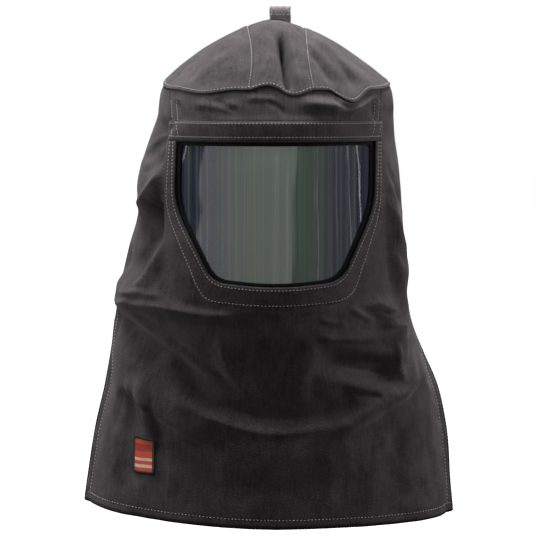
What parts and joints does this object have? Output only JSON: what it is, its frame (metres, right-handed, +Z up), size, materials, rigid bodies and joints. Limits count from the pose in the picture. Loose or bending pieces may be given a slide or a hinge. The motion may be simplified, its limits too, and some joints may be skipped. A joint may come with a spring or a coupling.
{
  "type": "arc flash hood",
  "caption": "Charcoal cloth arc flash hood with a paneled crown, a banded window with a tinted face shield, a hanger loop, and a bib over chest and back.",
  "frame": {"origin": "where the top of the head bears, on the inner face of the crown", "axes": "+Z up along the hood's height, the wearer faces -Y, +X is on the right as seen from the front"},
  "size_m": [0.4527, 0.3236, 0.6227],
  "materials": {
    "hood_cloth": "charcoal flame-resistant twill, matte",
    "black_tape": "black woven tape, matte",
    "tinted_shield": "green-tinted moulded sheet, clear gloss",
    "seam_thread": "pale grey sewing thread, matte",
    "patch_weave": "orange-red woven patch",
    "patch_thread": "black overlocked thread, satin"
  },
  "bodies": {
    "root": {"crown_center": "hood_cloth", "crown_left": "hood_cloth", "crown_right": "hood_cloth", "hanger_loop": "hood_cloth", "brow_panel": "hood_cloth", "front_panel": "hood_cloth", "back_panel": "hood_cloth", "window_band_top": "hood_cloth", "window_band_lower": "hood_cloth", "shield_facing": "black_tape", "face_shield": "tinted_shield", "front_binding": "black_tape", "back_binding": "black_tape", "patch_field": "patch_weave", "patch_edge": "patch_thread"}
  },
  "joints": []
}
